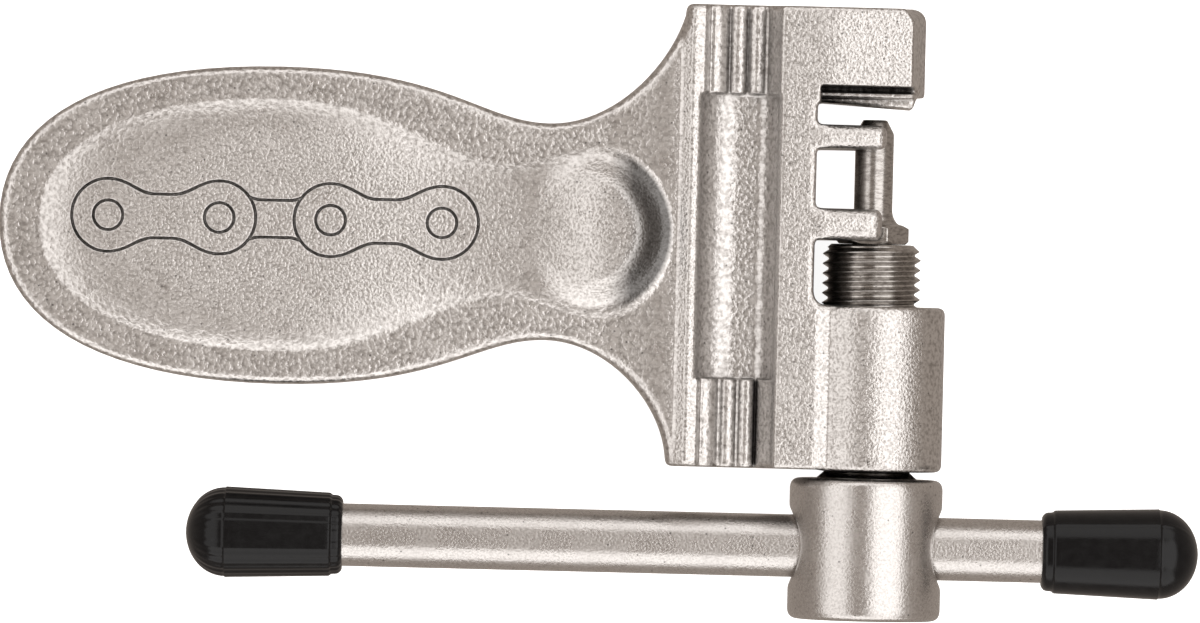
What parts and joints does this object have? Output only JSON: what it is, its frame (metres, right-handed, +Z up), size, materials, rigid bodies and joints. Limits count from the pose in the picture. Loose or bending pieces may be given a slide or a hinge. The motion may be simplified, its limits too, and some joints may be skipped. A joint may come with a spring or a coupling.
{
  "type": "bicycle chain tool",
  "caption": "Forged steel bicycle chain tool: paddle handle, chain cradle with anvil jaw, and a threaded breaker pin turned by a sliding tommy bar with rubber end caps.",
  "frame": {"origin": "centre of the bounding box on the surface the tool lies on, under the T-head's lowest line", "axes": "+X from the handle to the cradle's open side, +Y along the drive axis from the T-head to the anvil, +Z up with the tool lying on its back"},
  "size_m": [0.123, 0.0624, 0.0156],
  "materials": {
    "satin_forging": "plated forging with a coarse cast grain, satin",
    "tool_steel": "turned, hardened, fine satin",
    "spring_steel": "blued",
    "blasted_steel": "fine bead blast, satin",
    "black_rubber": "matt moulded"
  },
  "bodies": {
    "body": {"forged_body": "satin_forging"},
    "pin": {"breaker_pin": "tool_steel", "pin_snap_ring": "spring_steel"},
    "screw": {"drive_screw": "tool_steel", "t_head": "blasted_steel"},
    "bar": {"tommy_bar": "blasted_steel", "bar_cap_left": "black_rubber", "bar_cap_right": "black_rubber"}
  },
  "joints": [
    {"name": "pin_advance", "type": "slide", "parent": "body", "child": "pin", "axis": [0, 1, 0], "range_m": [-0.0201, 0.0004]},
    {"name": "screw_turn", "type": "hinge", "parent": "pin", "child": "screw", "pos_m": [0.0275, -0.0238, 0.0078], "axis": [0, 1, 0], "range_deg": [-7200, 108]},
    {"name": "bar_slide", "type": "slide", "parent": "screw", "child": "bar", "axis": [1, 0, 0], "range_m": [-0.01, 0.0453]}
  ],
  "couplings": [
    {"joint": "pin_advance", "follows": "screw_turn", "m_per_rad": 0.00015915}
  ]
}
